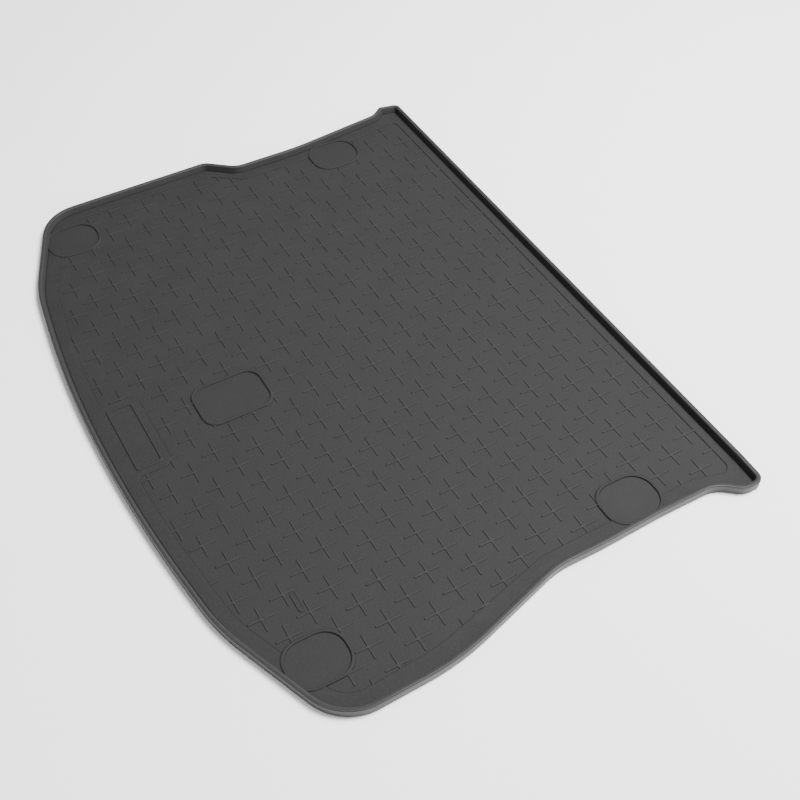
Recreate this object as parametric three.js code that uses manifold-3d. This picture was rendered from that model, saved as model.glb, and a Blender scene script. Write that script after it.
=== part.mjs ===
import * as THREE from 'three';
import { mergeGeometries, mergeVertices } from 'three/addons/utils/BufferGeometryUtils.js';
import Module from 'manifold-3d';

// Car boot liner: one moulded rubber tray, in millimetres, with X across the car,
// +Y towards the seat backs, -Y towards the tailgate, and +Z up.

// Edges of the liner, from the middle of the tailgate's curve
const SEAT_EDGE = 501;
const TAILGATE_EDGE = -283.2;
const EAR_LEFT = -518;
const EAR_RIGHT = 507.9;
const ARCH_LEFT = -486;
const ARCH_RIGHT = 486.2;
const ARCH_START = 171;
const REAR_LEFT = -527;
const REAR_RIGHT = 545.1;

// Tray section
const LIP_HEIGHT = 14;
const LIP_WIDTH = 7;
const LIP_EDGE = 1.5;
const FOOT_FILLET = 2;
const FLOOR_THICKNESS = 3.2;
const FIELD_DEPTH = 1;

// Cross ribs
const GRID = 20;
const RIB_WIDTH = 2.6;
const RIB_REACH = 19;
const RIB_GAP = 1;
const RIB_SHORTEST = 8;
const RIB_ROOT = 0.4;
const GRID_SHIFT_X = -36;
const GRID_SHIFT_Y = 1;
const GRID_CELLS = 24;

// Ridge lines round the pads and the badge place
const RIDGE_WIDTH = 2.6;
const RIDGE_RISE = 0.6;
const RIDGE_STEPS = 3;
const PAD_WIDTH = 71;
const PAD_DEPTH = 86;
const PAD_RADIUS = 31;
const CENTRE_PAD = { x: 1, y: TAILGATE_EDGE + 209.7, width: 79, depth: 109, radius: 24, steps: RIDGE_STEPS };
const BADGE = { x: 0.8, y: TAILGATE_EDGE + 54.9, width: 122.5, depth: 37.5, radius: 6, steps: 2 };
const TAG = { x: REAR_RIGHT - 183.6, y: TAILGATE_EDGE + 134.2, width: 33, depth: 9, radius: 4.4, steps: 2 };
const TAG_RISE = 0.6;

// Smallest corner left when an outline is moved inwards
const CORNER_LEFT = 2;

// Room that a cutting solid has beyond what it cuts
const CLEARANCE = 5;

const RUBBER = { color: 0x2f3133, roughness: 0.72, metalness: 0 };

const corner = (x, y, radius, steps) => ({ x, y, radius, steps });

// Outer edge of the lip, counter-clockwise from the ear by the left seat back
const OUTLINE = [
  corner(EAR_LEFT + 8.5, SEAT_EDGE + 1, 12, 2),
  corner(EAR_LEFT, SEAT_EDGE - 34, 6, 2),
  corner(ARCH_LEFT - 16.5, SEAT_EDGE - 55, 25, 2),
  corner(ARCH_LEFT, ARCH_START + 105, 500, 2),
  corner(ARCH_LEFT - 2.5, ARCH_START - 11, 35, 3),
  corner(REAR_LEFT + 1.2, ARCH_START - 57, 26, 3),
  corner(REAR_LEFT, TAILGATE_EDGE + 101.4, 72, 5),
  corner(REAR_LEFT + 178, TAILGATE_EDGE + 27.9, 270, 2),
  corner(-140, TAILGATE_EDGE, 1950, 3),
  corner(146, TAILGATE_EDGE, 2250, 3),
  corner(REAR_RIGHT - 190.5, TAILGATE_EDGE + 27.1, 320, 2),
  corner(REAR_RIGHT, TAILGATE_EDGE + 103.9, 75, 5),
  corner(REAR_RIGHT - 5.5, ARCH_START - 180.3, 380, 2),
  corner(ARCH_RIGHT, ARCH_START, 150, 2),
  corner(ARCH_RIGHT, ARCH_START + 69, 600, 1),
  corner(ARCH_RIGHT - 4.5, ARCH_START + 174, 500, 1),
  corner(ARCH_RIGHT - 4.4, SEAT_EDGE - 68.3, 45, 2),
  corner(EAR_RIGHT, SEAT_EDGE - 35.7, 32, 3),
  corner(EAR_RIGHT - 0.4, SEAT_EDGE - 2.2, 15, 3),
  corner(EAR_RIGHT - 47.9, SEAT_EDGE - 0.2, 200, 1),
];

// Edge of the sunk field, which steps round the badge place
const FIELD = [
  corner(EAR_LEFT + 37.5, SEAT_EDGE - 23.5, 6, 1),
  corner(ARCH_LEFT + 18, SEAT_EDGE - 81, 120, 1),
  corner(ARCH_LEFT + 27.5, ARCH_START + 99, 400, 1),
  corner(ARCH_LEFT + 26.5, ARCH_START - 8, 40, 2),
  corner(REAR_LEFT + 28, ARCH_START - 65, 3, 1),
  corner(REAR_LEFT + 26.5, TAILGATE_EDGE + 123.2, 45, 3),
  corner(REAR_LEFT + 182, TAILGATE_EDGE + 57.2, 220, 2),
  corner(-180, TAILGATE_EDGE + 35.2, 1200, 2),
  corner(-73, TAILGATE_EDGE + 30.7, 9, 2),
  corner(-73, TAILGATE_EDGE + 86.2, 14, 2),
  corner(74, TAILGATE_EDGE + 86.2, 14, 2),
  corner(74, TAILGATE_EDGE + 30.7, 9, 2),
  corner(180, TAILGATE_EDGE + 35.2, 1200, 2),
  corner(REAR_RIGHT - 198.1, TAILGATE_EDGE + 55.7, 220, 2),
  corner(REAR_RIGHT - 31.1, TAILGATE_EDGE + 123.2, 45, 3),
  corner(REAR_RIGHT - 38.6, ARCH_START - 196, 300, 3),
  corner(ARCH_RIGHT - 28.7, ARCH_START - 6, 60, 2),
  corner(ARCH_RIGHT - 33.2, SEAT_EDGE - 81, 40, 1),
  corner(EAR_RIGHT - 38.4, SEAT_EDGE - 23.5, 6, 1),
];

const PADS = [
  corner(ARCH_LEFT + 41, SEAT_EDGE - 168, PAD_RADIUS, RIDGE_STEPS),
  corner(ARCH_RIGHT - 48.2, SEAT_EDGE - 178.5, PAD_RADIUS, RIDGE_STEPS),
  corner(REAR_LEFT + 74, TAILGATE_EDGE + 124.7, PAD_RADIUS, RIDGE_STEPS),
  corner(REAR_RIGHT - 95.6, TAILGATE_EDGE + 120.2, PAD_RADIUS, RIDGE_STEPS),
].map((pad) => ({ ...pad, width: PAD_WIDTH, depth: PAD_DEPTH }));

const FIELD_LEVEL = FLOOR_THICKNESS - FIELD_DEPTH;
const RIDGE_LEVEL = FLOOR_THICKNESS + RIDGE_RISE;

const wasm = await Module();
wasm.setup();

// Unit direction from one corner to the next
function heading(from, to) {
  return new THREE.Vector2(to.x - from.x, to.y - from.y).normalize();
}

// Headings into and out of one corner of a closed outline
function headings(corners, index) {
  const here = corners[index];
  const into = heading(corners.at(index - 1), here);
  const out = heading(here, corners[(index + 1) % corners.length]);
  return { into, out, turn: Math.atan2(into.cross(out), into.dot(out)) };
}

// Points of a closed outline, with an arc at each corner
function rounded(corners) {
  return corners.flatMap((here, index) => {
    const { into, turn } = headings(corners, index);
    const reach = here.radius * Math.tan(Math.abs(turn) / 2);
    const start = new THREE.Vector2(here.x, here.y).addScaledVector(into, -reach);
    const side = new THREE.Vector2(-into.y, into.x).multiplyScalar(Math.sign(turn));
    const centre = start.clone().addScaledVector(side, here.radius);
    return Array.from({ length: here.steps + 1 }, (_, step) =>
      start.clone().rotateAround(centre, (turn * step) / here.steps));
  });
}

// The same outline moved inwards, its arcs kept concentric
function inset(corners, distance) {
  return corners.map((here, index) => {
    const { into, out, turn } = headings(corners, index);
    const sum = new THREE.Vector2(-into.y - out.y, into.x + out.x);
    sum.multiplyScalar(distance / (1 + into.dot(out)));
    const radius = Math.max(here.radius - distance * Math.sign(turn), CORNER_LEFT);
    return { ...here, x: here.x + sum.x, y: here.y + sum.y, radius };
  });
}

// Corners of a rounded rectangle, grown by a margin on every side
function rectangle({ x, y, width, depth, radius, steps }, grow = 0) {
  const halfX = width / 2 + grow;
  const halfY = depth / 2 + grow;
  const at = (signX, signY) => corner(x + signX * halfX, y + signY * halfY, radius + grow, steps);
  return [at(-1, 1), at(-1, -1), at(1, -1), at(1, 1)];
}

// Closed solid of a geometry whose shared vertices are merged
function solid(geometry) {
  const bare = geometry.clone();
  bare.deleteAttribute('normal');
  bare.deleteAttribute('uv');
  const merged = mergeVertices(bare);
  return new wasm.Manifold(new wasm.Mesh({
    numProp: 3,
    vertProperties: new Float32Array(merged.attributes.position.array),
    triVerts: new Uint32Array(merged.index.array),
  }));
}

// Prism of an outline between two levels
function prism(corners, bottom, top) {
  const shape = new THREE.Shape(rounded(corners));
  const geometry = new THREE.ExtrudeGeometry(shape, { depth: top - bottom, bevelEnabled: false });
  return solid(geometry.translate(0, 0, bottom));
}

// Prism whose bottom and top edges slope outwards from the outline
function bevelledPrism(corners, bottom, top, edge) {
  const shape = new THREE.Shape(rounded(corners));
  const geometry = new THREE.ExtrudeGeometry(shape, {
    depth: top - bottom - 2 * edge,
    bevelThickness: edge,
    bevelSize: edge,
    bevelSegments: 1,
  });
  return solid(geometry.translate(0, 0, bottom + edge));
}

// Closed ridge line along a rounded rectangle
function ridge(place, bottom, top) {
  const outer = prism(rectangle(place, RIDGE_WIDTH / 2), bottom, top);
  return outer.subtract(prism(rectangle(place, -RIDGE_WIDTH / 2), bottom - CLEARANCE, top + CLEARANCE));
}

// Rib with a roof-shaped section, from one point to another along X or Y
function rib(x, y, back, ahead, alongY) {
  const height = FIELD_DEPTH + RIB_ROOT;
  const half = (RIB_WIDTH / 2) * (height / FIELD_DEPTH);
  const roof = new THREE.Shape([
    new THREE.Vector2(-half, 0),
    new THREE.Vector2(half, 0),
    new THREE.Vector2(0, height),
  ]);
  const geometry = new THREE.ExtrudeGeometry(roof, { depth: back + ahead, bevelEnabled: false });
  geometry.translate(0, 0, -back);
  geometry.rotateX(Math.PI / 2);
  geometry.rotateZ(alongY ? Math.PI : Math.PI / 2);
  return geometry.translate(x, y, FIELD_LEVEL - RIB_ROOT);
}

// Distance from a point along a direction to a closed line of points
function distanceTo(points, x, y, dx, dy) {
  let nearest = Infinity;
  points.forEach((a, index) => {
    const b = points[(index + 1) % points.length];
    const across = dx * (b.y - a.y) - dy * (b.x - a.x);
    if (across === 0) return;
    const along = ((a.x - x) * (b.y - a.y) - (a.y - y) * (b.x - a.x)) / across;
    const part = ((a.x - x) * dy - (a.y - y) * dx) / across;
    if (along > 0 && part >= 0 && part < 1) nearest = Math.min(nearest, along);
  });
  return nearest;
}

// Whether a point lies inside a closed line of points
function contains(points, x, y) {
  let crossings = 0;
  points.forEach((a, index) => {
    const b = points[(index + 1) % points.length];
    const spans = (a.y > y) !== (b.y > y);
    if (spans && x < ((b.x - a.x) * (y - a.y)) / (b.y - a.y) + a.x) crossings += 1;
  });
  return crossings % 2 === 1;
}

// Ribs of all crosses: a cross stands at each grid knot, and its arms stop at the
// field's edge and at the ridge lines
function crossRibs() {
  const edge = rounded(FIELD);
  const islands = [...PADS, CENTRE_PAD].map((pad) => rounded(rectangle(pad, RIDGE_WIDTH / 2)));
  islands.push(rounded(rectangle(TAG, RIB_GAP)));
  const lines = [edge, ...islands];
  const arms = [[1, 0], [-1, 0], [0, 1], [0, -1]];
  const ribs = [];
  for (let m = -GRID_CELLS; m <= GRID_CELLS; m += 1) {
    for (let n = -GRID_CELLS; n <= GRID_CELLS; n += 1) {
      const x = (2 * m + n) * GRID + GRID_SHIFT_X;
      const y = (m - 2 * n) * GRID + GRID_SHIFT_Y;
      if (!contains(edge, x, y)) continue;
      if (islands.some((island) => contains(island, x, y))) continue;
      const [right, left, up, down] = arms.map(([dx, dy]) => {
        const free = Math.min(...lines.map((line) => distanceTo(line, x, y, dx, dy))) - RIB_GAP;
        const reach = Math.min(RIB_REACH, free);
        return reach < RIB_SHORTEST ? 0 : reach;
      });
      if (left + right > 0) ribs.push(rib(x, y, left, right, false));
      if (up + down > 0) ribs.push(rib(x, y, down, up, true));
    }
  }
  return ribs;
}

// Tray: the blank with its lip, hollowed down to the floor
const ground = prism(inset(OUTLINE, -CLEARANCE), -LIP_HEIGHT, 0);
const blank = bevelledPrism(inset(OUTLINE, LIP_EDGE), -CLEARANCE, LIP_HEIGHT, LIP_EDGE).subtract(ground);
const foot = inset(OUTLINE, LIP_WIDTH + FOOT_FILLET);
const hollow = bevelledPrism(foot, FLOOR_THICKNESS, LIP_HEIGHT + CLEARANCE, FOOT_FILLET);
const inside = prism(inset(OUTLINE, LIP_WIDTH), 0, LIP_HEIGHT);
const field = prism(FIELD, FIELD_LEVEL, LIP_HEIGHT);
let tray = blank.subtract(hollow).subtract(field);

// Pads, level with the field inside their ridge lines
for (const pad of [...PADS, CENTRE_PAD]) {
  const sunk = prism(rectangle(pad), FIELD_LEVEL, LIP_HEIGHT).intersect(prism(foot, 0, LIP_HEIGHT));
  tray = tray.subtract(sunk).add(ridge(pad, FIELD_LEVEL - RIB_ROOT, RIDGE_LEVEL).intersect(inside));
}

// Frame of the badge place and the small raised tag
tray = tray.add(ridge(BADGE, FIELD_LEVEL, RIDGE_LEVEL));
tray = tray.add(prism(rectangle(TAG), FIELD_LEVEL - RIB_ROOT, FIELD_LEVEL + TAG_RISE));

// Cross ribs, those along X first
const ribs = crossRibs();
const isAlongX = (geometry) => {
  geometry.computeBoundingBox();
  const { min, max } = geometry.boundingBox;
  return max.x - min.x > max.y - min.y;
};
tray = tray.add(solid(mergeGeometries(ribs.filter((geometry) => isAlongX(geometry)))));
tray = tray.add(solid(mergeGeometries(ribs.filter((geometry) => !isAlongX(geometry)))));

const mesh = tray.getMesh();
const geometry = new THREE.BufferGeometry();
geometry.setAttribute('position', new THREE.BufferAttribute(mesh.vertProperties, 3));
geometry.setIndex(new THREE.BufferAttribute(mesh.triVerts, 1));

// The frame's origin is under the middle of the liner
geometry.computeBoundingBox();
const middle = geometry.boundingBox.getCenter(new THREE.Vector3());
geometry.translate(-middle.x, -middle.y, 0);
geometry.computeVertexNormals();

const liner = new THREE.Mesh(geometry, new THREE.MeshStandardMaterial(RUBBER));
liner.name = 'boot_liner';

const bootLiner = new THREE.Group();
bootLiner.add(liner);

export default bootLiner;
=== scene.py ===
import math

import bmesh
import bpy
from mathutils import Matrix, Vector
from mathutils.geometry import tessellate_polygon


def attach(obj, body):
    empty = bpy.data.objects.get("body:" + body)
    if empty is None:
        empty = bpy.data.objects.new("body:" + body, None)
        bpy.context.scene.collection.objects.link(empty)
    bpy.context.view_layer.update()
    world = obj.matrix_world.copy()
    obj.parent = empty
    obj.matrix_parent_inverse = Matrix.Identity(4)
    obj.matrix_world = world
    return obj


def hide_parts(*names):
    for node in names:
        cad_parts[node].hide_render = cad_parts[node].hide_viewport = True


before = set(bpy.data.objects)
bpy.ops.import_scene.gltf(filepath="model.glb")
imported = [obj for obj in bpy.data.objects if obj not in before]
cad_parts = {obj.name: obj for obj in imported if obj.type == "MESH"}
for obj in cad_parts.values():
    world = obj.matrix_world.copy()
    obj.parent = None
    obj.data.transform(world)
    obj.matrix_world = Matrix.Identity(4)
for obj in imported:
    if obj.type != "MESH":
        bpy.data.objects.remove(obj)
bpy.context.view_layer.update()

# The liner: a shallow tray of thermoplastic rubber, pressed in one piece in a closed mould.
# Its lip runs round the whole boot floor, with an ear at each seat back and a step at each
# wheel arch, and the sunk field inside the margin keeps a spill from running to the edge.

MM = 0.001
LIP_HEIGHT = 14.0
LIP_WIDTH = 7.0
FLOOR = 3.2
FIELD_DEPTH = 1.0
FIELD_LEVEL = FLOOR - FIELD_DEPTH
SEAT_EDGE = 501.0
TAILGATE_EDGE = -283.2
EAR_LEFT, EAR_RIGHT = -518.0, 507.9
ARCH_LEFT, ARCH_RIGHT, ARCH_START = -486.0, 486.2, 171.0
REAR_LEFT, REAR_RIGHT = -527.0, 545.1

# Each corner is x, y, radius, and the number of steps in its arc
LIP_EDGE = [
    (EAR_LEFT + 8.5, SEAT_EDGE + 1, 12, 8), (EAR_LEFT, SEAT_EDGE - 34, 6, 6),
    (ARCH_LEFT - 16.5, SEAT_EDGE - 55, 25, 8), (ARCH_LEFT, ARCH_START + 105, 500, 8),
    (ARCH_LEFT - 2.5, ARCH_START - 11, 35, 10), (REAR_LEFT + 1.2, ARCH_START - 57, 26, 10),
    (REAR_LEFT, TAILGATE_EDGE + 101.4, 72, 16), (REAR_LEFT + 178, TAILGATE_EDGE + 27.9, 270, 8),
    (-140, TAILGATE_EDGE, 1950, 12), (146, TAILGATE_EDGE, 2250, 12),
    (REAR_RIGHT - 190.5, TAILGATE_EDGE + 27.1, 320, 8), (REAR_RIGHT, TAILGATE_EDGE + 103.9, 75, 16),
    (REAR_RIGHT - 5.5, ARCH_START - 180.3, 380, 8), (ARCH_RIGHT, ARCH_START, 150, 8),
    (ARCH_RIGHT, ARCH_START + 69, 600, 4), (ARCH_RIGHT - 4.5, ARCH_START + 174, 500, 4),
    (ARCH_RIGHT - 4.4, SEAT_EDGE - 68.3, 45, 10), (EAR_RIGHT, SEAT_EDGE - 35.7, 32, 10),
    (EAR_RIGHT - 0.4, SEAT_EDGE - 2.2, 15, 10), (EAR_RIGHT - 47.9, SEAT_EDGE - 0.2, 200, 4),
]
FIELD_EDGE = [
    (EAR_LEFT + 37.5, SEAT_EDGE - 23.5, 13, 7), (ARCH_LEFT + 18, SEAT_EDGE - 81, 120, 4),
    (ARCH_LEFT + 27.5, ARCH_START + 99, 400, 4), (ARCH_LEFT + 26.5, ARCH_START - 8, 40, 6),
    (REAR_LEFT + 28, ARCH_START - 65, 3, 3), (REAR_LEFT + 26.5, TAILGATE_EDGE + 123.2, 45, 8),
    (REAR_LEFT + 182, TAILGATE_EDGE + 57.2, 220, 6), (-180, TAILGATE_EDGE + 35.2, 1200, 5),
    (-73, TAILGATE_EDGE + 30.7, 9, 5), (-73, TAILGATE_EDGE + 86.2, 14, 6),
    (74, TAILGATE_EDGE + 86.2, 14, 6), (74, TAILGATE_EDGE + 30.7, 9, 5),
    (180, TAILGATE_EDGE + 35.2, 1200, 5), (REAR_RIGHT - 198.1, TAILGATE_EDGE + 55.7, 220, 6),
    (REAR_RIGHT - 31.1, TAILGATE_EDGE + 123.2, 45, 8), (REAR_RIGHT - 38.6, ARCH_START - 196, 300, 6),
    (ARCH_RIGHT - 28.7, ARCH_START - 6, 60, 6), (ARCH_RIGHT - 33.2, SEAT_EDGE - 81, 40, 4),
    (EAR_RIGHT - 38.4, SEAT_EDGE - 23.5, 13, 7),
]


def turns(corners, i):
    """A corner, the directions into and out of it, and the angle it turns by."""
    here = Vector(corners[i][:2])
    into = (here - Vector(corners[i - 1][:2])).normalized()
    out = (Vector(corners[(i + 1) % len(corners)][:2]) - here).normalized()
    return here, into, out, math.atan2(into.cross(out), into.dot(out))


def arcs(corners):
    """Points of the closed outline, with an arc at each corner."""
    points = []
    for i, (_, _, radius, steps) in enumerate(corners):
        here, into, _, turn = turns(corners, i)
        start = here - into * radius * math.tan(abs(turn) / 2)
        side = Vector((-into.y, into.x)) * math.copysign(1, turn)
        centre = start + side * radius
        for step in range(steps + 1):
            arm = start - centre
            arm.rotate(Matrix.Rotation(turn * step / steps, 2))
            points.append(centre + arm)
    return points


def inset(corners, distance, least=1.5):
    """The same corners moved inwards, with concentric arcs of at least some radius."""
    moved = []
    for i, (_, _, radius, steps) in enumerate(corners):
        here, into, out, turn = turns(corners, i)
        shift = Vector((-into.y - out.y, into.x + out.x)) * distance / (1 + into.dot(out))
        radius = max(radius - math.copysign(distance, turn), least)
        moved.append((here.x + shift.x, here.y + shift.y, radius, steps))
    return moved


edge = arcs(LIP_EDGE)
MIDDLE = Vector([(min(p[k] for p in edge) + max(p[k] for p in edge)) / 2 for k in (0, 1)])

# The finishes from the mould, and the inner wall's paler colour of painted light, in the order of the
# liner's materials
GRAINED, SMOOTH, POLISHED, PAINTED_LIGHT_WALL = range(4)
# Degrees at which an edge stays sharp, and how upright the normal of a level face is
SHARP_ANGLE = 40
LEVEL = 0.9995


def ring(bm, points, z):
    """The points at one height, from millimetres to metres round the liner's middle."""
    return [bm.verts.new(((p.x - MIDDLE.x) * MM, (p.y - MIDDLE.y) * MM, z * MM)) for p in points]


def wall(bm, low, high, finish=GRAINED):
    count = len(low)
    for i in range(count):
        j = (i + 1) % count
        bm.faces.new((low[i], low[j], high[j], high[i])).material_index = finish


def skin(bm, rings, finishes=()):
    """Walls from each ring to the next, all grained if no finishes are given."""
    for step, (low, high) in enumerate(zip(rings, rings[1:])):
        wall(bm, low, high, finishes[step] if finishes else GRAINED)


def fill(bm, *rings, finish=GRAINED):
    """Flat faces inside the first ring and outside the others."""
    verts = [v for r in rings for v in r]
    for tri in tessellate_polygon([[v.co for v in r] for r in rings]):
        face = [verts[k] for k in tri]
        if len(set(face)) == 3:
            bm.faces.new(face).material_index = finish


def soften(mesh):
    """Rounded edges are shaded smoothly, and level faces flat."""
    mesh.shade_smooth()
    mesh.set_sharp_from_angle(angle=math.radians(SHARP_ANGLE))
    for polygon in mesh.polygons:
        polygon.use_smooth = abs(polygon.normal.z) < LEVEL


def finish_mesh(name, bm):
    bmesh.ops.recalc_face_normals(bm, faces=bm.faces)
    mesh = bpy.data.meshes.new(name)
    bm.to_mesh(mesh)
    bm.free()
    soften(mesh)
    piece = bpy.data.objects.new(name, mesh)
    bpy.context.collection.objects.link(piece)
    return piece


# Inset from the lip's outer edge, and height: up the outside, over the crowned top with the
# parting line of the mould, and down the inside to the narrow channel round the foot
LIP_SECTION = [
    (0.6, 0.0), (0.15, 0.12), (0.0, 0.5), (0.0, LIP_HEIGHT - 1.5), (0.12, LIP_HEIGHT - 0.95),
    (0.45, LIP_HEIGHT - 0.5), (1.0, LIP_HEIGHT - 0.26), (2.7, LIP_HEIGHT - 0.02),
    (2.95, LIP_HEIGHT - 0.2), (3.2, LIP_HEIGHT),
    (LIP_WIDTH - 1.3, LIP_HEIGHT - 0.3), (LIP_WIDTH - 0.5, LIP_HEIGHT - 0.7),
    (LIP_WIDTH, LIP_HEIGHT - 1.6), (LIP_WIDTH + 0.1, LIP_HEIGHT - 2.2), (LIP_WIDTH + 1.7, FLOOR + 0.5),
    (LIP_WIDTH + 1.8, FLOOR - 0.5), (LIP_WIDTH + 2.0, FLOOR - 0.9), (LIP_WIDTH + 2.5, FLOOR - 0.9),
    (LIP_WIDTH + 2.8, FLOOR - 0.5), (LIP_WIDTH + 3.0, FLOOR - 0.1), (LIP_WIDTH + 3.3, FLOOR),
]
# Up the outside, over the top, down the inner wall, painted paler as painted light, and through the
# channel
LIP_FINISH = [POLISHED] * 4 + [SMOOTH] * 9 + [PAINTED_LIGHT_WALL] + [GRAINED] * 6
# Down from the margin to the field, with a fine crease at the foot of the step
FIELD_SECTION = [
    (-0.7, FLOOR), (-0.25, FLOOR - 0.08), (0.0, FLOOR - 0.3), (0.1, FIELD_LEVEL + 0.3),
    (0.2, FIELD_LEVEL - 0.2), (0.45, FIELD_LEVEL - 0.3), (0.75, FIELD_LEVEL - 0.2), (1.0, FIELD_LEVEL),
]

bm = bmesh.new()
lip_rings = [ring(bm, arcs(inset(LIP_EDGE, d)), z) for d, z in LIP_SECTION]
skin(bm, lip_rings, LIP_FINISH)
field_rings = [ring(bm, arcs(inset(FIELD_EDGE, d)), z) for d, z in FIELD_SECTION]
skin(bm, field_rings)
fill(bm, lip_rings[0])
fill(bm, lip_rings[-1], field_rings[0])
fill(bm, field_rings[-1])
liner = finish_mesh("moulded_tray", bm)


def hex_linear(code):
    """sRGB hex to the linear colour that a shader takes."""
    parts = [int(code[i:i + 2], 16) / 255 for i in (1, 3, 5)]
    return [c / 12.92 if c <= 0.04045 else ((c + 0.055) / 1.055) ** 2.4 for c in parts] + [1.0]


def add(material, kind, settings=None, links=None):
    """A shader node with its settings and what its inputs are linked from."""
    node = material.node_tree.nodes.new(kind)
    for key, value in (settings or {}).items():
        if isinstance(key, str) and hasattr(node, key):
            setattr(node, key, value)
        else:
            node.inputs[key].default_value = value
    for key, source in (links or {}).items():
        material.node_tree.links.new(source, node.inputs[key])
    return node


# Thermoplastic rubber from a spark-eroded mould: a deep matt grey with a fine dry grain,
# faint clouds where the melt cooled unevenly, and hardly any gloss. The grain's real pits
# are about 0.1 mm across, too fine to show, so they are drawn 2 to 4 mm across.
CLOUD_SIZE, CLOUD_DEPTH = 62.5, 0.9
GRAIN_SIZE = 2.381
MOTTLE = 0.16
ROUGHNESS_SPREAD = 0.05
NOISE_LOW, NOISE_HIGH = 0.3, 0.7
# Sockets of a mix node for colours: its two inputs and its output
MIX_A, MIX_B, MIXED = 6, 7, 2


def moulded_rubber(name, dark, light, gloss, roughness, pit_depth):
    rubber = bpy.data.materials.new(name)
    rubber.use_nodes = True
    rubber.node_tree.nodes.clear()
    place = add(rubber, "ShaderNodeTexCoord").outputs["Object"]
    cloud = add(rubber, "ShaderNodeTexNoise",
                {"Scale": 1 / (CLOUD_SIZE * MM), "Detail": 3.0, "Roughness": 0.55}, {"Vector": place})
    grain = add(rubber, "ShaderNodeTexNoise",
                {"Scale": 1 / (GRAIN_SIZE * MM), "Detail": 2.0, "Roughness": 0.6}, {"Vector": place})
    tint = add(rubber, "ShaderNodeMix",
               {"data_type": "RGBA", MIX_A: hex_linear(dark), MIX_B: hex_linear(light)},
               {"Factor": cloud.outputs["Fac"]})
    mottle = add(rubber, "ShaderNodeMapRange",
                 {"From Min": NOISE_LOW, "From Max": NOISE_HIGH,
                  "To Min": 1 - MOTTLE, "To Max": 1 + MOTTLE},
                 {"Value": grain.outputs["Fac"]})
    colour = add(rubber, "ShaderNodeMix",
                 {"data_type": "RGBA", "blend_type": "MULTIPLY", "Factor": 1.0},
                 {MIX_A: tint.outputs[MIXED], MIX_B: mottle.outputs["Result"]})
    rough = add(rubber, "ShaderNodeMapRange",
                {"From Min": NOISE_LOW, "From Max": NOISE_HIGH,
                 "To Min": roughness - ROUGHNESS_SPREAD, "To Max": roughness + ROUGHNESS_SPREAD},
                {"Value": cloud.outputs["Fac"]})
    wave = add(rubber, "ShaderNodeBump",
               {"Strength": 1.0, "Distance": CLOUD_DEPTH * MM}, {"Height": cloud.outputs["Fac"]})
    pit = add(rubber, "ShaderNodeBump",
              {"Strength": 1.0, "Distance": pit_depth * MM},
              {"Height": grain.outputs["Fac"], "Normal": wave.outputs["Normal"]})
    surface = add(rubber, "ShaderNodeBsdfPrincipled",
                  {"IOR": 1.5, "Specular IOR Level": gloss},
                  {"Base Color": colour.outputs[MIXED], "Roughness": rough.outputs["Result"],
                   "Normal": pit.outputs["Normal"]})
    add(rubber, "ShaderNodeOutputMaterial", None, {"Surface": surface.outputs["BSDF"]})
    return rubber


rubber = moulded_rubber("spark_grained_moulded_rubber", "#1f1f1f", "#262626", 0.16, 0.7, 0.12)
# The lip comes from a smoother part of the mould, so it has a soft satin gloss, and its colour is
# lighter than the field's, as painted light
lip_rubber = moulded_rubber("smooth_moulded_rubber", "#282828", "#2d2d2d", 0.18, 0.55, 0.04)
# Its outside lies against the polished half, and mirrors a little of the white paper; its colour is
# the lip's lighter one, painted light
side_rubber = moulded_rubber("polished_moulded_rubber", "#282828", "#2d2d2d", 0.42, 0.46, 0.03)
# Its inner wall has a paler colour, painted light, so the wall looks about as light as the field
inner_wall_painted_light_rubber = moulded_rubber("inner_wall_painted_light", "#303030", "#353535", 0.18, 0.55, 0.04)

liner.data.materials.append(rubber)
liner.data.materials.append(lip_rubber)
liner.data.materials.append(side_rubber)
liner.data.materials.append(inner_wall_painted_light_rubber)
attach(liner, "root")
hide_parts("boot_liner")

# The pads: rounded places pressed in the same rubber, plain inside, with a ridge line round
# each. The four by the corners reach over the margin to the foot of the lip, so the margin
# is cut down inside them, and a thin plain plate in each pad covers the field's crease.

# Width, depth, and radius of the corners
PAD_SIZE = (71.0, 86.0, 31.0)
MIDDLE_PAD_SIZE = (79, 109, 24)
CORNER_PADS = [
    (ARCH_LEFT + 41, SEAT_EDGE - 168, *PAD_SIZE), (ARCH_RIGHT - 48.2, SEAT_EDGE - 178.5, *PAD_SIZE),
    (REAR_LEFT + 74, TAILGATE_EDGE + 124.7, *PAD_SIZE),
    (REAR_RIGHT - 95.6, TAILGATE_EDGE + 120.2, *PAD_SIZE),
]
PADS = CORNER_PADS + [(1, TAILGATE_EDGE + 209.7, *MIDDLE_PAD_SIZE)]
PLATE_INSET = 1.0
PLATE_DEPTH, PLATE_RISE = 0.4, 0.03
CUT_OVER = 0.5
RIDGE_LEAST_RADIUS = 0.4
# Offset across the ridge, and height over the field
RIDGE_SECTION = [
    (-2.4, -0.3), (-2.05, 0.1), (-1.85, 0.6), (-1.7, 1.5), (-1.45, 2.0), (-1.0, 2.26), (-0.4, 2.36),
    (0.4, 2.36), (1.0, 2.26), (1.45, 2.0), (1.7, 1.5), (1.85, 0.6), (2.05, 0.1), (2.4, -0.3),
]


def rounded_rectangle(x, y, width, depth, radius, steps=10):
    w, d = width / 2, depth / 2
    return [(x - w, y + d, radius, steps), (x - w, y - d, radius, steps),
            (x + w, y - d, radius, steps), (x + w, y + d, radius, steps)]


def ridge_line(bm, corners, base):
    rings = [ring(bm, arcs(inset(corners, d, RIDGE_LEAST_RADIUS)), base + z) for d, z in RIDGE_SECTION]
    skin(bm, rings)
    wall(bm, rings[-1], rings[0])


def plate(bm, outline, low, high):
    bottom, top = ring(bm, outline, low), ring(bm, outline, high)
    wall(bm, bottom, top)
    fill(bm, bottom)
    fill(bm, top)


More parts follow.
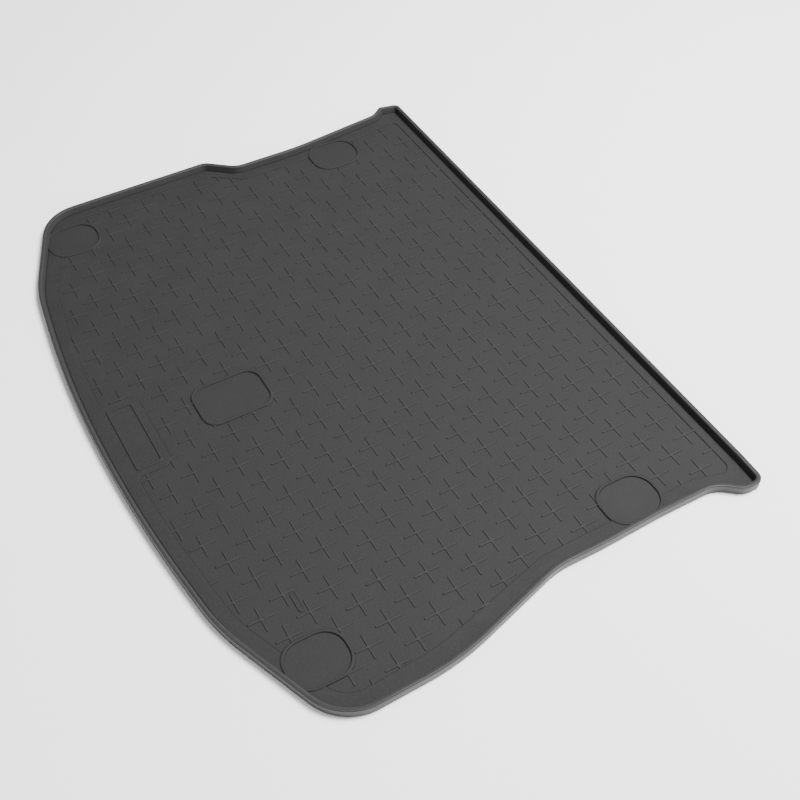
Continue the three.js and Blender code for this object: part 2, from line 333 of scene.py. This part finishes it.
def sink(piece, corners, low, high):
    """Cuts the outline out of the piece from one level up."""
    bm = bmesh.new()
    plate(bm, arcs(corners), low, high)
    cutter = finish_mesh("cutter", bm)
    cut = piece.modifiers.new("cut", "BOOLEAN")
    cut.object = cutter
    cut.solver = "EXACT"
    depsgraph = bpy.context.evaluated_depsgraph_get()
    mesh = bpy.data.meshes.new_from_object(piece.evaluated_get(depsgraph))
    piece.modifiers.clear()
    piece.data = mesh
    soften(mesh)
    bpy.data.objects.remove(cutter)


for pad in CORNER_PADS:
    sink(liner, rounded_rectangle(*pad), FIELD_LEVEL, FLOOR + CUT_OVER)
bm = bmesh.new()
for pad in PADS:
    ridge_line(bm, rounded_rectangle(*pad), FIELD_LEVEL)
    plain = arcs(inset(rounded_rectangle(*pad), PLATE_INSET))
    plate(bm, plain, FIELD_LEVEL - PLATE_DEPTH, FIELD_LEVEL + PLATE_RISE)
pad_ridges = finish_mesh("pad_ridges", bm)
pad_ridges.data.materials.append(rubber)
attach(pad_ridges, "root")

# The cross ribs: short ribs moulded on the field in a lattice, so that luggage grips and
# a spill stays between them. Each cross stands two steps along and one across from the
# next, and its arms run out where they meet the margin or a pad.

GRID = 20.0
GRID_SHIFT = (-36.0, 1.0)
GRID_COUNT = 24
RIB_REACH = 19.9
RIB_SHORTEST = 3.4
RUN_IN = 1.5
SLIVER = 0.01
CROTCH = 1.8
# The share of the crotch left at its middle, the share of a half width that an arm's end
# is cut back at its corners, and the share of that cut left at its middle
CROTCH_BEND = 0.293
END_CUT, END_BEND = 0.6, 0.3
# Half width of the rib, height over the field, and how far the end slopes back, from the foot up
RIB_SECTION = [(1.8, -0.3, 0.0), (1.5, 0.05, 0.15), (1.32, 0.3, 0.35), (1.2, 0.85, 0.9),
               (1.1, 1.03, 1.2), (0.9, 1.1, 1.5)]
# The crowns' finish, whose colour is painted lighter as a highlight
CROWN = 1
RIB_FINISH = [GRAINED] * 4 + [CROWN]
WAYS = ((1, 0), (0, 1), (-1, 0), (0, -1))
TAG = (REAR_RIGHT - 182.4, TAILGATE_EDGE + 135.4)
TAG_WIDTH, TAG_DEPTH, TAG_RADIUS = 33, 9, 4.4
TAG_GAP = 1


def inside(points, x, y):
    """True if the closed line runs round the spot."""
    flips = 0
    for a, b in zip(points, points[1:] + points[:1]):
        if (a.y > y) != (b.y > y) and x < (b.x - a.x) * (y - a.y) / (b.y - a.y) + a.x:
            flips += 1
    return flips % 2 == 1


def crossings(points, x, y, dx, dy):
    """Distances from a knot along an arm at which it crosses a closed line."""
    found = []
    for a, b in zip(points, points[1:] + points[:1]):
        across = dx * (b.y - a.y) - dy * (b.x - a.x)
        if across == 0:
            continue
        along = ((a.x - x) * (b.y - a.y) - (a.y - y) * (b.x - a.x)) / across
        part = ((a.x - x) * dy - (a.y - y) * dx) / across
        if 0 < along < RIB_REACH and 0 <= part < 1:
            found.append(along)
    return found


def is_open(x, y):
    return inside(field_line, x, y) and not any(inside(island, x, y) for island in islands)


def open_lengths(x, y, dx, dy):
    """Stretches of an arm that lie in the field and clear of the pads and the tag."""
    marks = [0.0, RIB_REACH]
    for line in [field_line, *islands]:
        marks += crossings(line, x, y, dx, dy)
    marks.sort()
    stretches = []
    for start, stop in zip(marks, marks[1:]):
        at = (start + stop) / 2
        if stop - start < SLIVER or not is_open(x + dx * at, y + dy * at):
            continue
        if stretches and start - stretches[-1][1] < SLIVER:
            stretches[-1][1] = stop
        else:
            stretches.append([start, stop])
    return stretches


def arm_end(reach, half):
    """The end of an arm, with its two corners rounded."""
    cut = half * END_CUT
    bend = cut * END_BEND
    return [(reach - cut, -half), (reach - bend, -half + bend), (reach, -half + cut),
            (reach, half - cut), (reach - bend, half - bend), (reach - cut, half)]


def turned(points, way, x, y):
    c, s = WAYS[way]
    return [Vector((u * c - v * s + x, u * s + v * c + y)) for u, v in points]


def cross_outline(arms, half, trim, x, y):
    """Outline of one cross, with rounded crotches between its arms."""
    bend = half + CROTCH * CROTCH_BEND
    outline = []
    for way, reach in enumerate(arms):
        local = arm_end(reach - trim, half) if reach else []
        if reach and arms[(way + 1) % 4]:
            local += [(half + CROTCH, half), (bend, bend), (half, half + CROTCH)]
        else:
            local += [(half, half)]
        outline += turned(local, way, x, y)
    return outline


def bar_outline(start, stop, way, half, trim, x, y):
    """Outline of a part of an arm that stands alone."""
    far = arm_end(stop - trim, half)
    near = [(start + stop - u, -v) for u, v in far]
    return turned(far + near, way, x, y)


def raise_rib(bm, outlines):
    rises = [rise for _, rise, _ in RIB_SECTION]
    rings = [ring(bm, outline, FIELD_LEVEL + rise) for outline, rise in zip(outlines, rises)]
    skin(bm, rings, RIB_FINISH)
    fill(bm, rings[-1], finish=CROWN)
    fill(bm, rings[0])


field_line = arcs(inset(FIELD_EDGE, -RUN_IN))
islands = [arcs(rounded_rectangle(*pad)) for pad in PADS]
tag_space = rounded_rectangle(*TAG, TAG_WIDTH + 2 * TAG_GAP, TAG_DEPTH + 2 * TAG_GAP, TAG_RADIUS)
islands.append(arcs(tag_space))
bm = bmesh.new()
for m in range(-GRID_COUNT, GRID_COUNT + 1):
    for n in range(-GRID_COUNT, GRID_COUNT + 1):
        x, y = (2 * m + n) * GRID + GRID_SHIFT[0], (m - 2 * n) * GRID + GRID_SHIFT[1]
        if not (REAR_LEFT < x < REAR_RIGHT and TAILGATE_EDGE < y < SEAT_EDGE):
            continue
        arms = [0.0, 0.0, 0.0, 0.0]
        for way, (dx, dy) in enumerate(WAYS):
            for start, stop in open_lengths(x, y, dx, dy):
                if start == 0.0:
                    arms[way] = stop
                elif stop - start > RIB_SHORTEST:
                    raise_rib(bm, [bar_outline(start, stop, way, half, slope, x, y)
                                   for half, _, slope in RIB_SECTION])
        if max(arms) > RIB_SHORTEST:
            arms = [reach if reach > RIB_SHORTEST else 0.0 for reach in arms]
            raise_rib(bm, [cross_outline(arms, half, slope, x, y) for half, _, slope in RIB_SECTION])
cross_ribs = finish_mesh("cross_ribs", bm)
cross_ribs.data.materials.append(rubber)
# The crowns come from the bottom of cut grooves, where the mould is a little smoother, and their
# colour is a little lighter, a painted highlight, so they read as light lines
painted_highlight_crown_rubber = moulded_rubber("crown_painted_highlight_rubber", "#212121", "#282828", 0.18, 0.66, 0.06)
cross_ribs.data.materials.append(painted_highlight_crown_rubber)
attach(cross_ribs, "root")

# The badge place and the tag: a plain frame moulded in the rear margin, and a small raised
# tag on the field, both in the liner's own rubber and bare inside.

BADGE = (0.8, TAILGATE_EDGE + 54.9)
BADGE_WIDTH, BADGE_DEPTH, BADGE_RADIUS = 122.5, 37.5, 6
BADGE_SINK = 1.0
# Inset from the tag's edge, and height over the field: up the side, over the rounded rim,
# and down to the tag's bare middle
TAG_SECTION = [(-0.4, -0.3), (0.0, 0.1), (0.15, 0.8), (0.45, 1.05), (1.1, 1.1),
               (1.7, 1.0), (1.9, 0.6), (2.2, 0.5)]
TAG_LEAST_RADIUS = 0.5

bm = bmesh.new()
badge_edge = rounded_rectangle(*BADGE, BADGE_WIDTH, BADGE_DEPTH, BADGE_RADIUS, steps=6)
ridge_line(bm, badge_edge, FLOOR - BADGE_SINK)
tag_edge = rounded_rectangle(*TAG, TAG_WIDTH, TAG_DEPTH, TAG_RADIUS, steps=8)
tag_rings = [ring(bm, arcs(inset(tag_edge, d, TAG_LEAST_RADIUS)), FIELD_LEVEL + z)
             for d, z in TAG_SECTION]
skin(bm, tag_rings)
fill(bm, tag_rings[-1])
fill(bm, tag_rings[0])
badge_place = finish_mesh("badge_place", bm)
badge_place.data.materials.append(rubber)
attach(badge_place, "root")

# The vent nibs: small stubs of rubber on the lip's right side, left where air escaped from
# the mould through a row of vent pins and the flash was snipped off.

NIB_COUNT = 14
NIB_PITCH = 26.7
NIB_FIRST = TAILGATE_EDGE + 235.2
NIB_INSET = 4.4
NIB_SIDES = 12
NIB_BASE = LIP_HEIGHT - 0.2
# Radius, and height over the base
NIB_SECTION = [(1.0, -0.3), (1.0, 0.4), (0.85, 0.62), (0.4, 0.7)]


def side_at(points, y):
    """Where a closed line crosses a level furthest to the right."""
    return max(a.x + (b.x - a.x) * (y - a.y) / (b.y - a.y)
               for a, b in zip(points, points[1:] + points[:1]) if (a.y > y) != (b.y > y))


def circle(x, y, radius):
    angles = [math.tau * step / NIB_SIDES for step in range(NIB_SIDES)]
    return [Vector((x + radius * math.cos(a), y + radius * math.sin(a))) for a in angles]


nib_line = arcs(inset(LIP_EDGE, NIB_INSET))
bm = bmesh.new()
for step in range(NIB_COUNT):
    y = NIB_FIRST + NIB_PITCH * step
    x = side_at(nib_line, y)
    rings = [ring(bm, circle(x, y, radius), NIB_BASE + rise) for radius, rise in NIB_SECTION]
    skin(bm, rings)
    fill(bm, rings[-1])
    fill(bm, rings[0])
vent_nibs = finish_mesh("vent_nibs", bm)
vent_nibs.data.materials.append(lip_rubber)
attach(vent_nibs, "root")

# The studio: a white paper floor under a large soft light overhead and behind, a weak one
# at the right, and pale walls all round.
# Paper has no gloss and throws light back at the outside of the lip.

PAPER_REACH = 12
PAPER_GAP = 0.4

paper = bpy.data.materials.new("matt_white_paper")
paper.use_nodes = True
paper.node_tree.nodes.clear()
sheet = add(paper, "ShaderNodeBsdfDiffuse", {"Color": hex_linear("#fbfbfb")})
add(paper, "ShaderNodeOutputMaterial", None, {"Surface": sheet.outputs["BSDF"]})
bm = bmesh.new()
bmesh.ops.create_grid(bm, x_segments=2, y_segments=2, size=PAPER_REACH)
floor = finish_mesh("paper_floor", bm)
floor.location.z = -PAPER_GAP * MM
floor.data.materials.append(paper)


def soft_light(name, watts, size, spot):
    """A round soft light of some width in metres, turned to the liner."""
    light = bpy.data.lights.new(name, "AREA")
    light.shape = "DISK"
    light.size = size
    light.energy = watts
    lamp = bpy.data.objects.new(name, light)
    bpy.context.collection.objects.link(lamp)
    lamp.location = spot
    lamp.rotation_euler = (-Vector(spot)).to_track_quat("-Z", "Y").to_euler()


soft_light("key_softbox", 395, 1.8, (0.4, 1.5, 3.2))
soft_light("side_softbox", 100, 2.2, (4.4, 0.8, 1.2))
world = bpy.data.worlds.new("pale_studio")
world.use_nodes = True
walls = world.node_tree.nodes["Background"]
walls.inputs["Color"].default_value = (1, 1, 1, 1)
walls.inputs["Strength"].default_value = 0.58
bpy.context.scene.world = world

# The camera: about 1.8 m away, over the rear right corner, looking down at the liner.
# Its lens and shift give the perspective of the photograph.

SPOT_X, SPOT_Y, SPOT_HEIGHT = 1131.9, -458.96, 1318.2
LOOK = (-0.59395, 0.31040, -0.74221)
UP = (-0.64713, 0.36377, 0.67000)

camera = bpy.data.cameras.new("camera")
camera.lens = 53.75
camera.sensor_width = 36
camera.shift_x = 0.0562
camera.shift_y = -0.0116
camera.clip_end = 60
eye = bpy.data.objects.new("camera", camera)
bpy.context.collection.objects.link(eye)
look = Vector(LOOK).normalized()
side = look.cross(Vector(UP)).normalized()
rise = side.cross(look)
spot = Vector((SPOT_X - MIDDLE.x, SPOT_Y - MIDDLE.y, SPOT_HEIGHT)) * MM
eye.matrix_world = Matrix((
    (side.x, rise.x, -look.x, spot.x), (side.y, rise.y, -look.y, spot.y),
    (side.z, rise.z, -look.z, spot.z), (0, 0, 0, 1)))
bpy.context.scene.camera = eye
